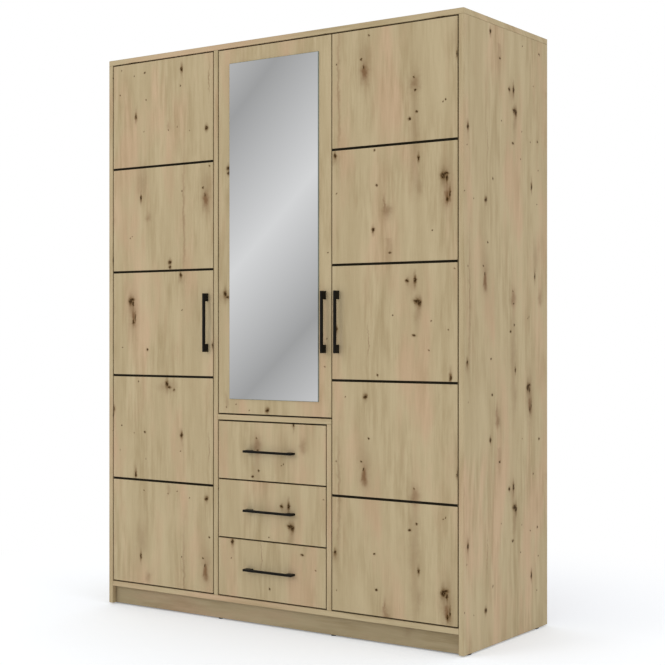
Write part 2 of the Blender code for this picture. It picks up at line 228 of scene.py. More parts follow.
# %% [markdown]
# ## The studio
#
# A catalogue picture is taken in a white room with soft light from all round, so that each board shows its
# own colour and only the gaps are dark. The world is that room. What the camera sees behind the wardrobe is
# plain white, and the room that the surfaces see has broad slanted bands of light and grey, like rows of
# lamps and dark cloth. Matt boards even them out, and the mirror shows them as a slanted gradient.

# %% World
BAND_WIDTH = 0.0695
BAND_START = 0.729
BAND_SLANT = (1.0, 0.0, -0.7)
DARK_CLOTH = 0.36
LAMP_ROW = 0.705
ROOM_LIGHT = 0.93
ROOM_TINT = (1.0, 1.004, 1.01)

world = bpy.data.worlds.new("studio")
world.use_nodes = True
bpy.context.scene.world = world
room = Value(world.node_tree, None)
direction = room.node("TexCoord", output=0)
slant = direction.vector("DOT_PRODUCT", direction, BAND_SLANT, output=1)
band = slant.math("PINGPONG", slant + BAND_START, BAND_WIDTH) / BAND_WIDTH
bands_seen = band.mix(grey(DARK_CLOTH), grey(LAMP_ROW))
room_colour = (*(ROOM_LIGHT * part for part in ROOM_TINT), 1.0)
camera_ray = room.node("LightPath", output=0)
glossy_ray = room.node("LightPath", output=3)
lit = glossy_ray.mix(room_colour, bands_seen)
background = world.node_tree.nodes["Background"]
world.node_tree.links.new(camera_ray.mix(lit, WHITE).socket, background.inputs["Color"])
print("studio with bands", BAND_WIDTH, "wide")

# %% [markdown]
# The room gives nearly all the light. Two large lamps add a little direction: one in front and to the left,
# which lays soft shadows beside the handles, and a weaker one on the wardrobe's right.

# %% Lamps
def softbox(name, place, aim, size, power):
    """A square area lamp at place, turned towards aim."""
    data = bpy.data.lights.new(name, "AREA")
    data.size = size
    data.energy = power
    lamp = bpy.data.objects.new(name, data)
    lamp.location = place
    lamp.visible_glossy = False
    lamp.rotation_euler = (Vector(aim) - Vector(place)).to_track_quat("-Z", "Y").to_euler()
    bpy.context.scene.collection.objects.link(lamp)


MIDDLE = (0.0, 0.0, 1.0)
softbox("front_softbox", place=(-2.4, -5.2, 2.6), aim=MIDDLE, size=2.4, power=60.0)
softbox("side_softbox", place=(6.0, -1.2, 2.4), aim=MIDDLE, size=3.0, power=40.0)
print("2 lamps")

# %% [markdown]
# The floor is a pale disc. Near the wardrobe it is matt and takes the soft shadow, and farther out it fades
# into the same white as the room, so that no horizon shows. It isn't part of the wardrobe.

# %% Floor
FLOOR_RADIUS = 30.0
FLOOR_DROP = 0.0004
FLOOR_DIM = (0.895, 0.91, 0.925, 1.0)
FLOOR_PALE = (0.905, 0.92, 0.935, 1.0)
FLOOR_GLOW = (0.150, 0.162, 0.180, 1.0)
FADE_START = 0.8
FADE_END = 2.0

floor_mesh = bpy.data.meshes.new("floor")
shape = bmesh.new()
bmesh.ops.create_circle(shape, cap_ends=True, radius=FLOOR_RADIUS, segments=96)
shape.to_mesh(floor_mesh)
shape.free()
floor = bpy.data.objects.new("floor", floor_mesh)
floor.location.z = cad_low.z - FLOOR_DROP
floor.visible_glossy = False
bpy.context.scene.collection.objects.link(floor)

studio_floor = Finish("studio_floor")
out = studio_floor.place.vector("LENGTH", studio_floor.place, output=1)
far = out.rises(FADE_START, FADE_END)
speckle = studio_floor.start.noise(studio_floor.place, 60.0)
studio_floor.set(Base_Color=speckle.mix(FLOOR_DIM, FLOOR_PALE), Roughness=0.9, Specular_IOR_Level=0.1,
                 Emission_Color=FLOOR_GLOW, Emission_Strength=1.0)
floor_tree = studio_floor.material.node_tree
matt = Value(floor_tree, studio_floor.shader.outputs[0])
glow = matt.node("Emission", {}, {"Color": WHITE, "Strength": 1.0})
both = matt.node("MixShader", {}, {0: far, 1: matt, 2: glow})
floor_tree.links.new(both.socket, floor_tree.nodes["Material Output"].inputs["Surface"])
floor_mesh.materials.append(studio_floor.material)
print("floor", FLOOR_RADIUS, "m")

# %% [markdown]
# ## The oak paper
#
# The boards are chipboard faced with printed paper, and the print repeats: one sheet is 652 mm across the
# grain and 1.3 m along it, and every board of the wardrobe is cut from such sheets. So the knots are one
# short list, in metres on that sheet, and a board only says where on the sheet it was cut. The paper is a
# node group, which all the boards share. Knots are ellipses whose distance field is bent by noise, so that
# no outline is round; stains are soft clouds around them; the grain is noise drawn out along the board.

# %% Knots and stains of one sheet
SHEET = (0.652, 1.300)

# Place on the sheet, across and along, and half width and half height
KNOTS = (
    (0.423, 0.186, 0.009, 0.010), (0.433, 0.193, 0.008, 0.004), (0.436, 0.178, 0.004, 0.009),
    (0.447, 0.128, 0.0025, 0.011), (0.438, 0.112, 0.004, 0.007), (0.327, 1.097, 0.011, 0.006),
    (0.337, 1.090, 0.007, 0.009), (0.320, 1.163, 0.005, 0.010), (0.291, 1.160, 0.006, 0.004),
    (0.132, 0.790, 0.007, 0.006), (0.017, 1.008, 0.005, 0.007), (0.449, 0.857, 0.0045, 0.008),
    (0.013, 0.277, 0.005, 0.006), (0.162, 0.027, 0.005, 0.006), (0.600, 1.188, 0.007, 0.009),
    (0.611, 1.176, 0.008, 0.003), (0.634, 1.168, 0.004, 0.003), (0.614, 0.324, 0.007, 0.006),
    (0.615, 0.307, 0.006, 0.005), (0.333, 0.247, 0.004, 0.007), (0.474, 0.560, 0.004, 0.009),
    (0.300, 0.373, 0.005, 0.004), (0.326, 0.394, 0.004, 0.0035), (0.175, 0.171, 0.004, 0.0035),
    (0.316, 0.988, 0.006, 0.0035), (0.506, 0.010, 0.004, 0.0035), (0.226, 1.254, 0.005, 0.003),
    (0.493, 1.013, 0.0035, 0.003), (0.179, 0.860, 0.003, 0.004), (0.167, 0.284, 0.003, 0.003),
    (0.146, 0.656, 0.003, 0.0025), (0.116, 0.580, 0.0035, 0.003), (0.316, 0.504, 0.003, 0.0025),
    (0.321, 0.463, 0.003, 0.0025), (0.125, 0.555, 0.0025, 0.004),
)
# Pin knots: small dark dots, given by their place only
PINS = (
    (0.018, 0.575), (0.019, 0.153), (0.011, 0.951), (0.371, 0.943), (0.441, 1.007), (0.379, 1.033),
    (0.383, 0.018), (0.463, 1.195), (0.431, 0.422), (0.422, 0.416), (0.054, 0.787), (0.237, 1.052),
    (0.489, 0.801), (0.648, 0.806), (0.606, 0.797), (0.499, 0.916),
)
# Soft stains: place, half width, half height, and how dark
STAINS = (
    (0.129, 0.532, 0.011, 0.026, 0.75), (0.128, 0.560, 0.022, 0.075, 0.30),
    (0.214, 0.088, 0.016, 0.022, 0.60), (0.205, 0.118, 0.004, 0.018, 0.55),
    (0.318, 0.484, 0.019, 0.026, 0.50), (0.318, 0.300, 0.016, 0.170, 0.30),
    (0.436, 0.150, 0.022, 0.075, 0.42), (0.437, 0.122, 0.009, 0.022, 0.55),
    (0.480, 0.620, 0.022, 0.060, 0.32), (0.511, 0.488, 0.013, 0.018, 0.42),
    (0.028, 0.480, 0.005, 0.190, 0.42), (0.328, 1.055, 0.012, 0.040, 0.35),
    (0.310, 1.150, 0.022, 0.030, 0.28), (0.012, 0.262, 0.012, 0.020, 0.38),
    (0.603, 1.180, 0.045, 0.016, 0.35), (0.221, 1.280, 0.012, 0.070, 0.25),
    (0.335, 0.160, 0.011, 0.035, 0.28), (0.606, 0.815, 0.006, 0.020, 0.30),
    (0.144, 0.965, 0.002, 0.045, 0.60), (0.449, 0.862, 0.006, 0.022, 0.35),
    (0.017, 1.000, 0.008, 0.030, 0.30),
)
print(len(KNOTS), "knots,", len(PINS), "pin knots and", len(STAINS), "stains on a sheet")

# %% [markdown]
# The group takes a place on the sheet, and whether to show the knots, since a board's edge shows none. It
# gives three results: the print's colour, its roughness, and the height of the pores that the
# press stamps into it.

# %% The paper's node group
OAK_YELLOW = rgb(182, 166, 133)
OAK_PINK = rgb(188, 162, 132)
OAK_SHADE = rgb(140, 120, 84)
STAIN = rgb(120, 92, 64)
KNOT_RIM = rgb(96, 70, 36)
KNOT_CORE = rgb(52, 33, 6)
# The brown of the glue line at board edges, which is also painted shade in the gaps between doors
GLUE_AND_GAP_SHADE = rgb(84, 62, 30)

oak_paper = bpy.data.node_groups.new("oak_paper", "ShaderNodeTree")
oak_paper.interface.new_socket("Place", in_out="INPUT", socket_type="NodeSocketVector")
oak_paper.interface.new_socket("Knots", in_out="INPUT", socket_type="NodeSocketFloat")
oak_paper.interface.new_socket("Color", in_out="OUTPUT", socket_type="NodeSocketColor")
oak_paper.interface.new_socket("Roughness", in_out="OUTPUT", socket_type="NodeSocketFloat")
oak_paper.interface.new_socket("Height", in_out="OUTPUT", socket_type="NodeSocketFloat")
group_in = oak_paper.nodes.new("NodeGroupInput")
paper = Value(oak_paper, group_in.outputs["Place"])
knotty = Value(oak_paper, group_in.outputs["Knots"])
print("oak paper takes", [socket.name for socket in group_in.outputs if socket.name])

# %% [markdown]
# A knot is an ellipse, and the nearest knot is the lowest of all the distances. Each is measured in that
# knot's own radii, so one number serves the dark core, its rim and its halo. A stain falls off smoothly from
# its middle instead, and stains that overlap add up.

# %% Knots and stains as distances
STAIN_FALL = 0.4


def in_radii(sheet_place, across, along, width, height):
    """How far a place is from an ellipse's middle, counted in the ellipse's two radii."""
    return paper.vector("MULTIPLY_ADD", sheet_place, (1 / width, 1 / height, 0.0),
                        (-across / width, -along / height, 0.0))


def nearest(sheet_place, spots):
    """The distance from the nearest of the spots, each measured in that spot's own radii."""
    result = None
    for spot in spots:
        distance = paper.vector("LENGTH", in_radii(sheet_place, *spot), output=1)
        result = distance if result is None else result.lowest(distance)
    return result


def clouds(sheet_place, spots):
    """The sum of soft stains, each darkest at its middle."""
    result = 0.0
    for *spot, strength in spots:
        ellipse = in_radii(sheet_place, *spot)
        fade = paper.math("POWER", STAIN_FALL, paper.vector("DOT_PRODUCT", ellipse, ellipse, output=1))
        result = paper.math("MULTIPLY_ADD", fade, strength, result)
    return result


print("nearest and clouds are ready")

# %% [markdown]
# The same place is read in two ways. For the grain it sways a little from side to side, so that no line runs
# dead straight. For the knots it is bent by fine noise, which gives them ragged outlines, and wrapped at the
# sheet's edges, which makes the print repeat.

# %% Places on the sheet
SWAY = 0.030
RIPPLE = 0.006
KNOT_BEND = (0.011, 0.013, 0.0)
STAIN_BEND = (0.026, 0.060, 0.0)
MIDDLE_GREY = (0.5, 0.5, 0.5)


def jitter(scale, detail, roughness):
    """A noise with three separate parts, each about 0."""
    noise = paper.node("TexNoise", {}, {"Vector": paper, "Scale": scale, "Detail": detail,
                                        "Roughness": roughness}, 1)
    return paper.vector("SUBTRACT", noise, MIDDLE_GREY)


sway = paper.noise(paper.vector("MULTIPLY", paper, (3.0, 1.1, 1.0)), 1.0, 2.0)
ripple = paper.noise(paper.vector("MULTIPLY", paper, (20.0, 5.0, 1.0)), 1.0, 2.0)
shift = (sway - 0.5) * SWAY + (ripple - 0.5) * RIPPLE
grain_place = paper.vector("ADD", paper, paper.node("CombineXYZ", {}, {"X": shift}))

bent = paper.vector("MULTIPLY_ADD", jitter(95.0, 2.5, 0.65), KNOT_BEND, paper)
bent_x, bent_y, _ = bent.parts()
on_sheet = paper.node("CombineXYZ", {}, {"X": bent_x.wrap(SHEET[0]), "Y": bent_y.wrap(SHEET[1])})
drifted = paper.vector("MULTIPLY_ADD", jitter(24.0, 3.0, 0.6), STAIN_BEND, on_sheet)
print("a sheet is", SHEET[0], "by", SHEET[1], "m")

# %% [markdown]
# Now the lists become three numbers at every point: how far the nearest knot is, how stained the wood is,
# and how near the tail of a large knot is. A tail is the same ellipse drawn out along the grain, where the
# fibres close up again above and below the knot.

# %% Knots, stains and tails
PIN_RADIUS = 0.0020
TAILED_KNOTS = 21
TAIL_WIDTH = 1.2
TAIL_LENGTH = 3.0

knot = nearest(on_sheet, KNOTS + tuple((*pin, PIN_RADIUS, PIN_RADIUS) for pin in PINS))
stain = clouds(drifted, STAINS)
tail = nearest(on_sheet, [(across, along, width * TAIL_WIDTH, height * TAIL_LENGTH)
                          for across, along, width, height in KNOTS[:TAILED_KNOTS]])
print(len(oak_paper.nodes), "nodes so far")

# %% [markdown]
# The grain is noise drawn out along the board: broad bands, then narrower streaks, then single fibres, then
# open pores. Two more noises change the hue and say where the streaks are strong, because real boards are
# calm in some places and lively in others. The last one breaks up the dark cores of the knots.

# %% Grain
def stretched(across, along):
    """The place scaled for noise: so many waves to the metre across the grain and along it."""
    return paper.vector("MULTIPLY", grain_place, (across, along, 1.0))


bands = paper.noise(stretched(14.0, 1.2), 1.0, 3.0, 0.55)
hue = paper.noise(stretched(6.5, 1.8), 1.0, 3.0, 0.6)
patches = paper.noise(stretched(8.0, 3.0), 1.0, 2.0, 0.5).rises(0.42, 0.60)
streaks = paper.noise(stretched(62.0, 5.5), 1.0, 3.0, 0.6)
fibres = paper.noise(stretched(380.0, 11.0), 1.0, 3.0, 0.6)
pores = paper.noise(stretched(1100.0, 30.0), 1.0, 2.0, 0.5).rises(0.60, 0.74)
scrawl = paper.noise(bent, 260.0, 2.0, 0.6)
print(len(oak_paper.nodes), "nodes with the grain")

# %% [markdown]
# The colour is built as a printer builds it, from pale to dark: the tint of the wood, the shade of the grain,
# stains, the tails and halos of knots, their rims, and last their nearly black cores. Each layer is a mix
# whose factor is one of the masks above. The cores and pores are also stamped a little below the surface.

# %% Printed colour, roughness and height
tint = hue.rises(0.46, 0.66).mix(OAK_YELLOW, OAK_PINK)
shade = (bands.rises(0.68, 0.34) * 0.23 + streaks.rises(0.66, 0.36) * (patches * 0.22 + 0.08)
         + fibres.rises(0.7, 0.3) * 0.12 + pores * 0.10)
wood = shade.mix(tint, OAK_SHADE)
cloud = stain.math("MULTIPLY", stain * knotty, fibres * 1.2 + 0.5, clamp=True)
clouded = cloud.mix(wood, STAIN)
halo = knot.rises(2.6, 0.9) * knotty * 0.22
trail = tail.rises(1.5, 0.2) * knotty * (fibres * 0.7 + 0.1)
rim = knot.rises(1.6, 0.9) * knotty * 0.60
core = knot.rises(1.05, 0.65) * knotty * scrawl.rises(0.34, 0.50)
haloed = halo.mix(trail.mix(clouded, KNOT_RIM), KNOT_RIM)
rimmed = rim.mix(haloed, KNOT_RIM)
printed = core.mix(rimmed, KNOT_CORE)
pressed = 0.0 - pores - core * 0.8

group_out = oak_paper.nodes.new("NodeGroupOutput")
oak_paper.links.new(printed.socket, group_out.inputs["Color"])
oak_paper.links.new((0.50 + pores * 0.10 + fibres * 0.08).socket, group_out.inputs["Roughness"])
oak_paper.links.new(pressed.socket, group_out.inputs["Height"])
print("oak paper", len(oak_paper.nodes), "nodes")

# %% [markdown]
# ## The boards
#
# On a door or a side the grain stands upright, and on shelves and the plinth it lies level. A board's
# material is the paper group and one sum: across the grain is x plus y, since a flat face keeps one of the
# two constant, and the sum runs on round the corner into the edge banding. In the last millimetre before
# the board's edge, found from the board's own box, a brown line is painted. It stands for the hairline of
# glue where banding meets the face, and it is also painted shade that darkens the gaps between doors.

# %% Oak finishes
UPRIGHT = ((1.0, 1.0, 0.0), (0.0, 0.0, 1.0))
LEVEL = ((0.0, 1.0, 1.0), (1.0, 0.0, 0.0))
ALONG_X, ALONG_Y, ALONG_Z = (1.0, 0.0, 0.0), (0.0, 1.0, 0.0), (0.0, 0.0, 1.0)
PORE_DEPTH = 0.00008
OAK_GLOSS = 0.08
# The glue line at each board's edge, which also paints shade into the gaps between doors
GLUE_SHADE_WIDTH = 0.0011
GLUE_SHADE_STRENGTH = 0.7


def glue_and_gap_shade(finish, node):
    """Glue line and painted gap shade: 1 in the last millimetre of a board's faces, where its edge banding is
    glued, and 0 elsewhere.
    """
    low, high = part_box(node)
    from_centre = finish.start.vector("SUBTRACT", finish.place, (low + high) / 2)
    inset = finish.start.vector("SUBTRACT", finish.start.vector("ABSOLUTE", from_centre), (high - low) / 2)
    in_face = finish.start.vector("SUBTRACT", inset, finish.start.vector("ABSOLUTE", finish.normal))
    x, y, z = in_face.parts()
    return x.highest(y).highest(z).rises(-GLUE_SHADE_WIDTH, -GLUE_SHADE_WIDTH / 3) * GLUE_SHADE_STRENGTH


def oak(name, node, grain, thickness, cut, painted_shade=1.0):
    """An oak finish for a board: its grain, its thin direction, where on the sheet it was cut, and painted
    shade.
    """
    finish = Finish(name)
    across, along = grain
    squareness = finish.normal.vector("DOT_PRODUCT", finish.normal, thickness, output=1)
    on_face = squareness.math("GREATER_THAN", squareness.math("ABSOLUTE", squareness), 0.5)
    u = finish.place.vector("DOT_PRODUCT", finish.place, across, output=1) + cut[0]
    v = finish.place.vector("DOT_PRODUCT", finish.place, along, output=1) + cut[1]
    place = finish.start.node("CombineXYZ", {}, {"X": u, "Y": v})
    sheet = finish.start.node("Group", {"node_tree": oak_paper}, {"Place": place, "Knots": on_face})
    results = sheet.socket.node.outputs
    # A brown glue line in each board's last millimetre, which is also painted shade darkening the gaps
    # between doors
    glued_and_gap_shaded = glue_and_gap_shade(finish, node).mix(sheet, GLUE_AND_GAP_SHADE)
    # The print is multiplied by the board's painted shade, a grey that is 1 on every board but the plinth
    print_with_painted_shade = finish.start.node("Mix", {"data_type": "RGBA", "blend_type": "MULTIPLY"},
                              {0: 1.0, 6: glued_and_gap_shaded, 7: grey(painted_shade)}, 2)
    return finish.set(Base_Color=print_with_painted_shade, Roughness=Value(sheet.tree, results["Roughness"]),
                      Specular_IOR_Level=OAK_GLOSS,
                      Normal=finish.bump(Value(sheet.tree, results["Height"]), 0.35, PORE_DEPTH))


print("oak finishes can be made")

# %% [markdown]
# Each board was cut from its own place on a sheet, which the list below gives. The front faces are measured
# from the doors' face and the sides from the side's face, so that the numbers stay true if the wardrobe is
# made deeper or wider. The plinth stands back in the shade of the boards above, and painted shade makes its
# print darker.

# %% Where the boards were cut
DOOR_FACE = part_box("left_door")[0].y
SIDE_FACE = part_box("right_side_panel")[1].x
# Painted shade: how far the plinth's print is darkened, since it stands back in the shade of the boards above
PLINTH_PAINTED_SHADE = 0.75

# Each node's grain, its thin direction, and its place on the sheet, measured from its visible face
CUTS = {
    "right_door": (UPRIGHT, ALONG_Y, (-0.254 - DOOR_FACE, -0.004)),
    "left_door": (UPRIGHT, ALONG_Y, (0.414 - DOOR_FACE, 0.371)),
    "mirror_door": (UPRIGHT, ALONG_Y, (0.145 - DOOR_FACE, 0.053)),
    "top_drawer_front": (UPRIGHT, ALONG_Y, (0.376 - DOOR_FACE, -0.136)),
    "middle_drawer_front": (UPRIGHT, ALONG_Y, (0.243 - DOOR_FACE, 0.746)),
    "bottom_drawer_front": (UPRIGHT, ALONG_Y, (0.182 - DOOR_FACE, 0.729)),
    "right_side_panel": (UPRIGHT, ALONG_X, (0.269 - SIDE_FACE, -0.632)),
    "left_side_panel": (UPRIGHT, ALONG_X, (0.269 + SIDE_FACE, 0.310)),
    "left_partition": (UPRIGHT, ALONG_X, (0.50, 0.35)),
    "right_partition_lower": (UPRIGHT, ALONG_X, (0.30, 0.52)),
    "right_partition_upper": (UPRIGHT, ALONG_X, (0.30, 0.52)),
    "top_panel": (LEVEL, ALONG_Z, (0.21, 0.95)),
    "bottom_panel": (LEVEL, ALONG_Z, (0.44, 0.12)),
    "plinth_board": (LEVEL, ALONG_Y, (0.13, 0.64)),
    "rear_plinth_board": (LEVEL, ALONG_Y, (0.30, 0.20)),
    "drawer_shelf": (LEVEL, ALONG_Z, (0.05, 0.80)),
    "left_hat_shelf": (LEVEL, ALONG_Z, (0.20, 0.33)),
    "right_hat_shelf": (LEVEL, ALONG_Z, (0.11, 1.02)),
    "centre_lower_shelf": (LEVEL, ALONG_Z, (0.27, 0.45)),
    "centre_upper_shelf": (LEVEL, ALONG_Z, (0.16, 0.71)),
}


def dress(node, material):
    """Gives a CAD node one finish all over."""
    mesh = nodes[node].data
    mesh.materials.clear()
    mesh.materials.append(material)
    for polygon in mesh.polygons:
        polygon.material_index = 0


for node, (grain, thickness, cut) in CUTS.items():
    # Painted shade: the plinth boards get a darker print
    painted_shade = PLINTH_PAINTED_SHADE if "plinth" in node else 1.0
    dress(node, oak("oak_" + node, node, grain, thickness, cut, painted_shade))
print(len(CUTS), "boards in oak")

# %% [markdown]
# ## Black, steel and glass
#
# Everything else is paint, plastic, foil or metal. None of them is one flat colour: the colour wanders a
# little, and a fine grit roughens the gloss and the surface. One function makes them all, so that a finish
# is one line. The mirror is silver behind glass, which reflects all but a little of the light.

# %% Plain finishes
def painted(name, colour, roughness, grit, depth, metallic=0.0, gloss=0.5):
    """Paint or plastic: a colour that wanders a little, and a fine orange-peel or grit in the surface."""
    finish = Finish(name)
    cloud = finish.start.noise(finish.place, 9.0, 3.0)
    grain = finish.start.noise(finish.place, grit, 2.0)
    worn = cloud.rises(0.3, 0.7) * 0.6 + grain * 0.4
    lighter = tuple(min(1.0, c * 1.15 + 0.004) for c in colour[:3]) + (1.0,)
    return finish.set(Base_Color=worn.mix(colour, lighter), Roughness=roughness + (grain - 0.5) * 0.12,
                      Specular_IOR_Level=gloss, Metallic=metallic, Normal=finish.bump(grain, 0.25, depth))


black_paint = painted("black_paint", rgb(16, 14, 10), 0.42, 900.0, 0.00008, gloss=0.12)
black_strip = painted("black_strip", rgb(26, 22, 13), 0.6, 1400.0, 0.00004, gloss=0.02)
black_plastic = painted("black_plastic", rgb(20, 20, 20), 0.55, 700.0, 0.0001, gloss=0.2)
steel = painted("zinc_steel", rgb(190, 190, 186), 0.32, 500.0, 0.00003, 1.0)
nickel = painted("nickel", rgb(202, 200, 194), 0.24, 700.0, 0.00002, 1.0)
foil = painted("drawer_foil", rgb(202, 199, 190), 0.5, 600.0, 0.00005, gloss=0.3)
white_base = painted("drawer_base_paper", rgb(214, 211, 203), 0.6, 300.0, 0.00004, gloss=0.2)
back_print = oak("oak_back_board", "back_board", UPRIGHT, ALONG_Y, (0.10, 0.20))
fibreboard = painted("fibreboard", rgb(134, 104, 72), 0.8, 1100.0, 0.00015, gloss=0.1)
tape_paper = painted("fold_tape", rgb(206, 196, 172), 0.7, 500.0, 0.00004, gloss=0.1)
cap_plastic = painted("cap_plastic", rgb(192, 174, 140), 0.45, 500.0, 0.00003, gloss=0.3)

silver = Finish("mirror_silver")
dust = silver.start.noise(silver.place, 3.0, 2.0)
silver.set(Base_Color=(0.93, 0.94, 0.95, 1.0), Metallic=1.0, Roughness=dust * 0.01 + 0.005)

for name in nodes:
    if "strip" in name:
        dress(name, black_strip)
    elif "hinge_arm" in name or "runner" in name or "rail" in name:
        dress(name, steel)
print("plain finishes given")

# %% [markdown]
# ## Small pieces, and how they are made
#
# What the CAD model leaves out are small turned and folded pieces: screws, cups, pins, glides, nails. A
# turned piece could be a screw modifier on a profile, but rings of points joined by faces are as short to
# write and need nothing applied. A ring can be drawn out into a stadium shape for oval pieces, and a ring
# with two radii makes the cross recess of a screw head.

# %% Shape helpers
SHARP = math.radians(35)


def facing(axis):
    """A turn that takes +Z to the axis and keeps +Y upright, or along the depth when the axis is upright."""
    z = Vector(axis).normalized()
    y = Vector((0.0, 1.0, 0.0)) if abs(z.z) > 0.5 else Vector((0.0, 0.0, 1.0))
    return Matrix((y.cross(z), y, z)).transposed().to_4x4()


def turned(shape, profile, place, axis, steps=32, stretch=0.0, closed=False):
    """Adds a turned shape. The profile lists (radius, height) from place along the axis, radius 0 ends it.

    A radius given as a pair makes a cross of that arm and web. A stretch draws rings out along local Y."""
    move = Matrix.Translation(place) @ facing(axis)
    rings = []
    for radius, height in profile:
        if radius == 0.0:
            rings.append([shape.verts.new(move @ Vector((0.0, 0.0, height)))])
            continue
        arm, web = radius if isinstance(radius, tuple) else (radius, radius)
        ring = []
        for i in range(steps):
            angle = 2 * math.pi * (i + 0.5 * bool(stretch)) / steps
            reach = arm if i % (steps // 4) == 0 else web
            aside = math.copysign(stretch / 2, math.sin(angle)) if stretch else 0.0
            corner = Vector((reach * math.cos(angle), reach * math.sin(angle) + aside, height))
            ring.append(shape.verts.new(move @ corner))
        rings.append(ring)
    pairs = zip(rings, rings[1:] + rings[:1]) if closed else zip(rings, rings[1:])
    for low, high in pairs:
        for i in range(steps):
            j = (i + 1) % steps
            corners = (low[i % len(low)], low[j % len(low)], high[j % len(high)], high[i % len(high)])
            shape.faces.new(tuple(dict.fromkeys(corners)))


def block(shape, low, high):
    """Adds a box between two corners."""
    size = Matrix.Diagonal((*(Vector(high) - Vector(low)), 1.0))
    middle = Matrix.Translation((Vector(low) + Vector(high)) / 2)
    bmesh.ops.create_cube(shape, size=1.0, matrix=middle @ size)


def swept(shape, outline, start, end, to_world):
    """Adds the outline, points (a, b), swept from start to end. to_world maps (a, b, swept) to a place."""
    near = [shape.verts.new(to_world(a, b, start)) for a, b in outline]
    far = [shape.verts.new(to_world(a, b, end)) for a, b in outline]
    shape.faces.new(near)
    shape.faces.new(far[::-1])
    for i in range(len(outline)):
        j = (i + 1) % len(outline)
        shape.faces.new((near[j], near[i], far[i], far[j]))


def ease(shape, width, segments=2):
    """Rounds every edge of the shape by a small bevel, as a sander or a mould does."""
    bmesh.ops.recalc_face_normals(shape, faces=shape.faces)
    bmesh.ops.bevel(shape, geom=shape.edges, offset=width, segments=segments, profile=0.5, affect="EDGES")


def piece(name, shape, finish, body, replaced=()):
    """Makes the shape one shown piece that rides on a body, in place of the CAD nodes it replaces."""
    bmesh.ops.recalc_face_normals(shape, faces=shape.faces)
    mesh = bpy.data.meshes.new(name)
    shape.to_mesh(mesh)
    shape.free()
    mesh.shade_smooth()
    mesh.set_sharp_from_angle(angle=SHARP)
    mesh.materials.append(finish)
    made = bpy.data.objects.new(name, mesh)
    bpy.context.scene.collection.objects.link(made)
    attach(made, body)
    if replaced:
        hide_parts(*replaced)
    return made


def screw_head(radius, height):
    """The profile of a pan head with a cross recess, from its seat up."""
    dome = [(0.0, 0.0), (radius, 0.0), (radius, height * 0.35), (radius * 0.85, height * 0.8)]
    recess = [((radius * 0.52, radius * 0.2), height), ((radius * 0.42, radius * 0.12), height * 0.3)]
    return [*dome, (radius * 0.6, height), *recess, (0.0, height * 0.3)]


LEAVES = {"left": ("left_leaf", 1), "mirror": ("mirror_leaf", 1), "right": ("right_leaf", -1)}
HINGE_PLACES = ("lower", "middle", "upper")
DRAWERS = ("bottom", "middle", "top")
DOOR_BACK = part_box("left_door")[1].y
FIT = 0.0003
print("door backs at", round(DOOR_BACK, 4))

# %% [markdown]
# ## Handles
#
# Each handle is a flat black bar bent to two long feet, made as one U and powder coated. The outline of the U
# is drawn in the plane of its length and reach, swept over its width, and every edge is eased, because a
# coated bar has no sharp corners and its eased edges are what catch the light.

# %% Handles
BAR = 0.009
FOOT = 0.028
HANDLE_EDGE = 0.0008

bodies_of_handles = {f"{door}_door_handle": leaf for door, (leaf, _) in LEAVES.items()}
bodies_of_handles.update({f"{drawer}_drawer_handle": f"{drawer}_drawer" for drawer in DRAWERS})
for node, body in bodies_of_handles.items():
    low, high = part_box(node)
    upright = high.z - low.z > high.x - low.x
    along = 2 if upright else 0
    across = 2 - along
    start, end = low[along], high[along]
    outline = [(start, high.y), (start, low.y), (end, low.y), (end, high.y), (end - FOOT, high.y),
               (end - FOOT, low.y + BAR), (start + FOOT, low.y + BAR), (start + FOOT, high.y)]

    def bar_place(a, b, c):
        return (c, b, a) if upright else (a, b, c)

    shape = bmesh.new()
    swept(shape, outline, low[across], high[across], bar_place)
    ease(shape, HANDLE_EDGE, 3)
    piece(node + "_bar", shape, black_paint, body, [node])
print(len(bodies_of_handles), "handles")

# %% [markdown]
# Two screws hold each handle from behind. On a drawer they pass through the box's front wall as well, so
# their heads sit inside the drawer.

# %% Handle screws
SCREW_STEPS = 16
HOLE_SPACING = 0.192
BOX_WALL = 0.012
screw = screw_head(0.0042, 0.0016)
for node, body in bodies_of_handles.items():
    low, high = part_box(node)
    middle = (low + high) / 2
    drawer = node.split("_")[0] if "drawer" in node else None
    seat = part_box(f"{drawer}_drawer_box")[0].y + BOX_WALL if drawer else DOOR_BACK
    shape = bmesh.new()
    for end in (-1, 1):
        place = Vector((middle.x, seat, middle.z))
        place[0 if drawer else 2] += end * HOLE_SPACING / 2
        turned(shape, screw, place, ALONG_Y, SCREW_STEPS)
    piece(node + "_screws", shape, steel, body)
print("2 screws to a handle")

# %% [markdown]
# ## The mirror
#
# The mirror is 4 mm glass, silvered behind and glued to the door. Its edge is ground to a narrow arris, which
# shows as a fine dark line round the picture in it. The pane is one box with its front edges bevelled; the
# flat front reflects, and the ground faces take the green-grey of cut glass.

# %% Mirror pane
ARRIS = 0.0012

cut_glass = Finish("cut_glass_edge")
frosting = cut_glass.start.noise(cut_glass.place, 800.0, 2.0)
cut_glass.set(Base_Color=frosting.mix(rgb(96, 112, 108), rgb(132, 146, 142)), Roughness=0.25 + frosting * 0.2)

low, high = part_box("mirror_glass")
shape = bmesh.new()
block(shape, low, high)
front = [edge for edge in shape.edges if all(v.co.y < low.y + ARRIS / 2 for v in edge.verts)]
bmesh.ops.bevel(shape, geom=front, offset=ARRIS, segments=1, affect="EDGES")
pane = piece("mirror_pane", shape, silver.material, "mirror_leaf", ["mirror_glass"])
pane.data.materials.append(cut_glass.material)
for polygon in pane.data.polygons:
    polygon.material_index = 0 if polygon.normal.y < -0.9 else 1
print("mirror", [round(v, 4) for v in (high - low)])

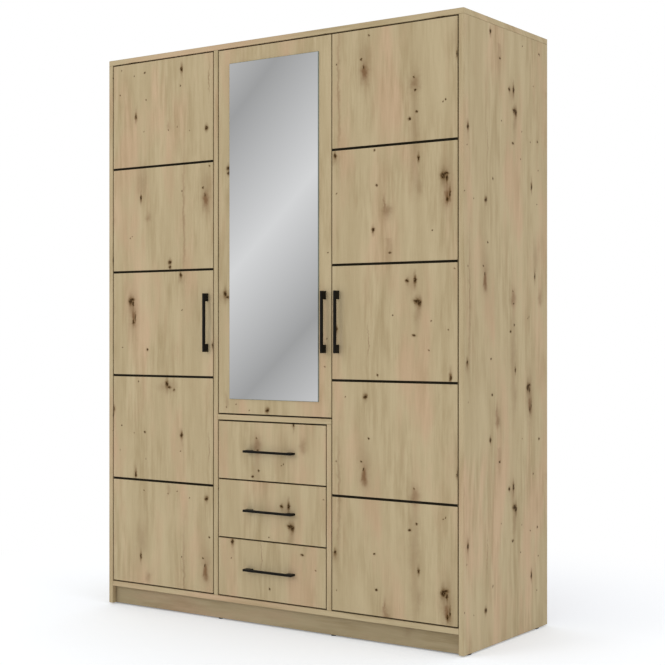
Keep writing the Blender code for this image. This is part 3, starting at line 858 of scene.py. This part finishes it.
# %% [markdown]
# ## Hinge cups
#
# A cup hinge has a steel cup pressed into a 35 mm bore in the door, with a flange that two screws hold. The
# cup is one turned shape: a floor, a thin wall, and a rim that covers the edge of the bore. The flange's two
# ears are the same tool again, with the ring drawn out.

# %% The cup's shape
CUP_RADIUS = 0.0172
CUP_WALL = 0.0007
CUP_DEPTH = 0.0117
CUP_ROUNDING = 0.002
CUP_ROUNDING_INSIDE = 0.0024
RIM = 0.0012
CUP_SEAT = 0.00005
FLANGE = 0.0009
FLANGE_EAR = 0.0065
FLANGE_STRETCH = 0.004
CUP_SCREW_OFFSET = 0.024
HINGE_STEPS = 40


def cup_shape(cup):
    """The cup, sunk into the back of the door at the place given, and the two ears of its flange."""
    inside = CUP_RADIUS - CUP_WALL
    outer = [(0.0, -CUP_DEPTH), (CUP_RADIUS - CUP_ROUNDING, -CUP_DEPTH),
             (CUP_RADIUS, CUP_ROUNDING - CUP_DEPTH)]
    rim = [(CUP_RADIUS, CUP_SEAT), (CUP_RADIUS + RIM, CUP_SEAT), (CUP_RADIUS + RIM, FLANGE * 0.7),
           (CUP_RADIUS + RIM / 2, FLANGE), (inside, FLANGE)]
    inner = [(inside, CUP_ROUNDING_INSIDE - CUP_DEPTH),
             (CUP_RADIUS - CUP_ROUNDING_INSIDE, CUP_WALL - CUP_DEPTH), (0.0, CUP_WALL - CUP_DEPTH)]
    ear = [(0.0, 0.0), (FLANGE_EAR, 0.0), (FLANGE_EAR, FLANGE * 0.7), (FLANGE_EAR - 0.0004, FLANGE * 0.9),
           (0.0, FLANGE * 0.9)]
    shape = bmesh.new()
    turned(shape, outer + rim + inner, cup, ALONG_Y, HINGE_STEPS)
    for end in (-1, 1):
        ear_place = cup + Vector((0.0, CUP_SEAT, end * CUP_SCREW_OFFSET))
        turned(shape, ear, ear_place, ALONG_Y, HINGE_STEPS, FLANGE_STRETCH)
    return shape


print("a cup is", 2 * CUP_RADIUS, "m across")

# %% [markdown]
# The hinge's arm reaches in from the cabinet and ends in an eye, which the CAD model has. The cup carries
# the pin through it, between two ears that stand on the cup's floor. A real cup hinge swings on four small
# links. One pin stands in for them here, so the ears sit where the links would.

# %% The ears and the pin
PIN = 0.0014
PIN_TIP = 0.0006
EYE = 0.0032
EYE_STEPS = 10
EAR_LOW, EAR_HIGH = 0.0064, 0.0076


def ears_and_pin(pin, floor_depth):
    """Two ears with round ends, from the cup's floor to the pin, and the pin that they hold."""
    angles = [math.pi * i / EYE_STEPS for i in range(EYE_STEPS + 1)]
    round_end = [(EYE * math.cos(angle), EYE * math.sin(angle)) for angle in angles]
    outline = [(EYE, floor_depth), *round_end, (-EYE, floor_depth)]
    tip = EAR_HIGH + PIN_TIP

    def from_pin(a, b, c):
        return (pin.x + a, pin.y + b, pin.z + c)

    shape = bmesh.new()
    for start, end in ((EAR_LOW, EAR_HIGH), (-EAR_HIGH, -EAR_LOW)):
        swept(shape, outline, start, end, from_pin)
    turned(shape, [(0.0, -tip), (PIN * 0.8, -tip), (PIN, -EAR_HIGH),
                   (PIN, EAR_HIGH), (PIN * 0.8, tip), (0.0, tip)], pin, ALONG_Z, SCREW_STEPS)
    return shape


print("a pin is", 2 * PIN, "m thick")

# %% [markdown]
# A door turns about the axis that its joint names, so the pins are placed by the joints, and at the height
# of each arm. The cup's middle lies a little past the pin, towards the middle of the door.

# %% Nine hinges
CUP_PAST_PIN = 0.0059

joints = frame["record"]["behaviour"]["joints"]
hinge_axes = {joint["name"].split("_")[0]: Vector(joint["pos_m"])
              for joint in joints if joint["type"] == "hinge"}
for door, (leaf, into_bay) in LEAVES.items():
    for place in HINGE_PLACES:
        hinge = f"{door}_door_{place}"
        low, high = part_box(hinge + "_hinge_arm")
        pin = Vector((hinge_axes[door].x, hinge_axes[door].y, (low.z + high.z) / 2))
        cup = Vector((pin.x + into_bay * CUP_PAST_PIN, DOOR_BACK, pin.z))
        piece(hinge + "_hinge_cup", cup_shape(cup), nickel, leaf)

        floor_depth = cup.y - CUP_DEPTH + CUP_WALL - pin.y
        piece(hinge + "_hinge_pin", ears_and_pin(pin, floor_depth), nickel, leaf)

        shape = bmesh.new()
        for end in (-1, 1):
            seat = cup + Vector((0.0, FLANGE * 0.85, end * CUP_SCREW_OFFSET))
            turned(shape, screw_head(0.0036, 0.0009), seat, ALONG_Y, SCREW_STEPS)
        piece(hinge + "_cup_screws", shape, steel, leaf)
print(len(LEAVES) * len(HINGE_PLACES), "hinge cups with pins")

# %% [markdown]
# On the cabinet side two screws hold each mounting plate, above and below the arm, and two more in the arm
# set how the door hangs.

# %% Plate and arm screws
PLATE_SCREW_OFFSET = 0.016
PLATE_THICKNESS = 0.003
PLATE_WIDTH = 0.020
PLATE_SETBACK = 0.012
ARM_CHANNEL = 0.009
ARM_SCREWS = (0.007, 0.024)

for door, (_, into_bay) in LEAVES.items():
    for place in HINGE_PLACES:
        low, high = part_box(f"{door}_door_{place}_hinge_arm")
        panel = low.x if into_bay > 0 else high.x
        height = (low.z + high.z) / 2
        outwards = (into_bay, 0.0, 0.0)
        plate_y = high.y - PLATE_SETBACK - PLATE_WIDTH / 2
        shape = bmesh.new()
        for end in (-1, 1):
            seat = (panel + into_bay * PLATE_THICKNESS, plate_y, height + end * PLATE_SCREW_OFFSET)
            turned(shape, screw_head(0.0038, 0.0014), seat, outwards, SCREW_STEPS)
        for from_rear in ARM_SCREWS:
            seat = (panel + into_bay * ARM_CHANNEL, high.y - from_rear, height)
            turned(shape, screw_head(0.0032, 0.0012), seat, outwards, SCREW_STEPS)
        piece(f"{door}_door_{place}_plate_screws", shape, steel, "carcass")
print("36 hinge screws")

# %% [markdown]
# ## Drawers
#
# A drawer box is four foil-wrapped boards and a thin base held in a groove. The CAD box is one solid, so it
# is replaced by the five boards, with their own edges and the fine lines where they meet.

# %% Drawer boards
BASE_BOARD = 0.003
BASE_RISE = 0.010
JOINT = 0.0002
FOIL_EDGE = 0.0005

for drawer in DRAWERS:
    node, body = f"{drawer}_drawer_box", f"{drawer}_drawer"
    low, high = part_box(node)
    left, right = low.x + BOX_WALL + JOINT, high.x - BOX_WALL - JOINT
    front, back = low.y + BOX_WALL, high.y - BOX_WALL
    base_z = low.z + BASE_RISE
    boards = {
        "left_side": (low, (low.x + BOX_WALL, high.y, high.z)),
        "right_side": ((high.x - BOX_WALL, low.y, low.z), high),
        "box_front": ((left, low.y, low.z), (right, front, high.z)),
        "box_back": ((left, back, low.z), (right, high.y, high.z)),
        "base": ((left, front + JOINT, base_z), (right, back - JOINT, base_z + BASE_BOARD)),
    }
    for board, corners in boards.items():
        shape = bmesh.new()
        block(shape, *corners)
        ease(shape, FOIL_EDGE)
        finish = white_base if board == "base" else foil
        piece(f"{drawer}_drawer_{board}", shape, finish, body, [node])
print("15 drawer boards")

# %% [markdown]
# Each runner is a pair of steel channels with balls between them. The CAD has the cabinet's channel; this is
# the one on the drawer, a C that slides inside it, with a row of balls above and below.

# %% Drawer slides
MEMBER_HALF = 0.0130
MEMBER_STEEL = 0.0012
MEMBER_DEPTH = 0.0085
BALL = 0.0017
BALL_HEIGHT = 0.0149
BALL_START = 0.020
BALL_PITCH = 0.012
BALLS = 9
SLIDE_SETBACK = 0.002
SLIDE_SHORT = 0.004

for drawer in DRAWERS:
    box_low, box_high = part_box(f"{drawer}_drawer_box")
    for side, face, outwards in (("left", box_low.x, -1), ("right", box_high.x, 1)):
        low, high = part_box(f"{drawer}_drawer_{side}_runner")
        height = (low.z + high.z) / 2
        web, lip = FIT + MEMBER_STEEL, MEMBER_HALF - MEMBER_STEEL
        outline = [(FIT, -MEMBER_HALF), (MEMBER_DEPTH, -MEMBER_HALF), (MEMBER_DEPTH, -lip), (web, -lip),
                   (web, lip), (MEMBER_DEPTH, lip), (MEMBER_DEPTH, MEMBER_HALF), (FIT, MEMBER_HALF)]

        def member_place(a, b, c):
            return (face + outwards * a, c, height + b)

        shape = bmesh.new()
        swept(shape, outline, low.y + SLIDE_SETBACK, high.y - SLIDE_SHORT, member_place)
        piece(f"{drawer}_drawer_{side}_slide", shape, steel, f"{drawer}_drawer")

        shape = bmesh.new()
        for row in (-1, 1):
            for i in range(BALLS):
                place = (face + outwards * MEMBER_DEPTH * 0.75, low.y + BALL_START + i * BALL_PITCH,
                         height + row * BALL_HEIGHT)
                bmesh.ops.create_icosphere(shape, subdivisions=2, radius=BALL,
                                           matrix=Matrix.Translation(place))
        piece(f"{drawer}_drawer_{side}_balls", shape, nickel, "carcass")
print("6 drawer slides with", 2 * BALLS, "balls each")

# %% [markdown]
# ## Rail brackets and shelf pins
#
# The oval hanging rails end in cups screwed to the boards, which are stadium rings on a flange. The loose
# shelves lie on steel pins, four to a shelf.

# %% Rail brackets
RAIL_STRAIGHT = 0.015
BRACKET_DEPTH = 0.011
BRACKET_FLANGE = 0.0075
BRACKET_SCREW = 0.0045


def bracket_profile(hole):
    """A flange with an eased edge, then the thin collar that takes the rail's end."""
    flange = [(hole, 0.0), (hole + BRACKET_FLANGE, 0.0), (hole + BRACKET_FLANGE, 0.0014),
              (hole + 0.0068, 0.0020)]
    collar = [(hole + 0.0022, 0.0022), (hole + 0.0018, BRACKET_DEPTH - 0.0005),
              (hole + 0.0013, BRACKET_DEPTH), (hole, BRACKET_DEPTH)]
    return flange + collar


for side in ("left", "right"):
    low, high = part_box(f"{side}_hanging_rail")
    middle = (low + high) / 2
    hole = (high.y - low.y) / 2 + FIT
    shape = bmesh.new()
    for face, outwards in ((low.x, 1), (high.x, -1)):
        axis = (outwards, 0.0, 0.0)
        seat = (face, middle.y, middle.z)
        turned(shape, bracket_profile(hole), seat, axis, 48, RAIL_STRAIGHT, closed=True)
        for end in (-1, 1):
            height = middle.z + end * (RAIL_STRAIGHT / 2 + hole + BRACKET_SCREW)
            turned(shape, screw_head(0.0026, 0.0011), (face + outwards * 0.0020, middle.y, height), axis,
                   SCREW_STEPS)
    piece(f"{side}_rail_brackets", shape, nickel, "carcass")
print("4 rail brackets")

# %% Shelf pins
PIN_SHAFT = 0.0025
PIN_LENGTH = 0.0085
PIN_INSET = 0.045

shelf_pin = [(0.0, 0.0), (PIN_SHAFT, 0.0), (PIN_SHAFT, PIN_LENGTH - 0.001), (PIN_SHAFT * 0.7, PIN_LENGTH),
             (0.0, PIN_LENGTH)]
for node in ("left_hat_shelf", "right_hat_shelf", "centre_lower_shelf", "centre_upper_shelf"):
    low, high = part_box(node)
    shape = bmesh.new()
    for x, outwards in ((low.x, 1), (high.x, -1)):
        for y in (low.y + PIN_INSET, high.y - PIN_INSET):
            place = (x, y, low.z - PIN_SHAFT - FIT)
            turned(shape, shelf_pin, place, (outwards, 0.0, 0.0), 20)
    piece(node + "_pins", shape, nickel, "carcass")
print("16 shelf pins")

# %% [markdown]
# ## Cover caps
#
# Cam fittings pull the upright boards to the top and the bottom, and a plastic cap in the colour of the oak
# covers each. A cap is a shallow dome, 17 mm across, on the board's inner face.

# %% Cover caps
CAP_RADIUS = 0.0085
CAP_DISTANCE = 0.034
CAP_Y = (-0.200, 0.235)

cap = [(0.0, 0.0), (CAP_RADIUS, 0.0), (CAP_RADIUS, 0.0005), (CAP_RADIUS * 0.93, 0.0010),
       (CAP_RADIUS * 0.6, 0.0013), (0.0, 0.0014)]
# The board, and 1 for its right face or -1 for its left face
capped = (("left_side_panel", 1), ("left_partition", -1), ("left_partition", 1),
          ("right_partition_upper", -1), ("right_partition_upper", 1), ("right_side_panel", -1))
under_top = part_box("top_panel")[0].z
on_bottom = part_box("bottom_panel")[1].z
for node, outwards in capped:
    low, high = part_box(node)
    face = high.x if outwards > 0 else low.x
    heights = [under_top - CAP_DISTANCE]
    if low.z < on_bottom + CAP_DISTANCE and (node, outwards) != ("left_partition", 1):
        heights.append(on_bottom + CAP_DISTANCE)
    shape = bmesh.new()
    for height in heights:
        for y in CAP_Y:
            turned(shape, cap, (face, y, height), (outwards, 0.0, 0.0), 28)
    side = "right" if outwards > 0 else "left"
    piece(f"{node}_{side}_caps", shape, cap_plastic, "carcass")
print(len(capped), "sets of cover caps")

# %% [markdown]
# ## The back
#
# The back is one thin fibreboard sheet, folded for packing: plain brown behind, printed on the side that
# faces the clothes, with paper tape along the folds and nails round its edge. It replaces the CAD sheet, and
# is set in by the height of a nail's head, so that the whole stays as deep as the CAD says.

# %% Back sheet, tape and nails
NAIL_HEAD = 0.0005
TAPE_WIDTH = 0.040
TAPE = 0.00015
TAPE_SHORT = 0.001
NAIL_PITCH = 0.120
NAIL_INSET = 0.006

low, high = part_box("back_board")
rear = high.y - NAIL_HEAD - TAPE
shape = bmesh.new()
block(shape, low, (high.x, rear, high.z))
sheet = piece("back_sheet", shape, back_print, "carcass", ["back_board"])
sheet.data.materials.append(fibreboard)
for polygon in sheet.data.polygons:
    polygon.material_index = 0 if polygon.normal.y < -0.9 else 1

partitions = [(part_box(node)[0].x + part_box(node)[1].x) / 2
              for node in ("left_partition", "right_partition_upper")]
shape = bmesh.new()
for x in partitions:
    block(shape, (x - TAPE_WIDTH / 2, rear, low.z + TAPE_SHORT),
          (x + TAPE_WIDTH / 2, rear + TAPE, high.z - TAPE_SHORT))
piece("back_fold_tape", shape, tape_paper, "carcass")

shape = bmesh.new()
tall = round((high.z - low.z) / NAIL_PITCH)
wide = round((high.x - low.x) / NAIL_PITCH)
nail_places = [(x, low.z + (i + 0.5) * (high.z - low.z) / tall) for i in range(tall)
               for x in (low.x + NAIL_INSET, *partitions, high.x - NAIL_INSET)]
nail_places += [(low.x + (i + 0.5) * (high.x - low.x) / wide, z) for i in range(wide)
                for z in (low.z + NAIL_INSET, high.z - NAIL_INSET)]
nail = [(0.0, 0.0), (0.0030, 0.0), (0.0030, NAIL_HEAD * 0.5), (0.0024, NAIL_HEAD), (0.0, NAIL_HEAD)]
for x, z in nail_places:
    turned(shape, nail, (x, rear + TAPE, z), ALONG_Y, 12)
piece("back_nails", shape, steel, "carcass")
print(len(nail_places), "nails")

# %% [markdown]
# ## Glides
#
# Black plastic glides keep the boards off the floor: an oval one under each end of the side panels, and a
# round one under the plinth below each partition. Each has a foot with a rounded rim below a thinner neck.

# %% Glides
PLINTH_GLIDE_RADIUS = 0.0085


def glide_profile(radius, height):
    """A foot with a rounded rim, then a thinner neck."""
    neck = radius - 0.0012
    foot = [(0.0, 0.0), (radius - 0.0010, 0.0), (radius - 0.0003, 0.0004), (radius, 0.0010)]
    return [*foot, (radius, height * 0.55), (radius - 0.0006, height * 0.65), (neck, height * 0.7),
            (neck, height), (0.0, height)]


for side in ("left", "right"):
    for end in ("front", "rear"):
        node = f"{side}_{end}_glide"
        low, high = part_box(node)
        middle = (low + high) / 2
        shape = bmesh.new()
        width = high.x - low.x
        turned(shape, glide_profile(width / 2, high.z - low.z), (middle.x, middle.y, low.z), ALONG_Z, 48,
               stretch=high.y - low.y - width)
        piece(node + "_foot", shape, black_plastic, "carcass", [node])

low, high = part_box("plinth_board")
for side, x in zip(("left", "right"), partitions):
    shape = bmesh.new()
    profile = glide_profile(PLINTH_GLIDE_RADIUS, low.z - cad_low.z - FIT)
    turned(shape, profile, (x, (low.y + high.y) / 2, cad_low.z), ALONG_Z)
    piece(f"{side}_plinth_glide", shape, black_plastic, "carcass")
print("6 glides")
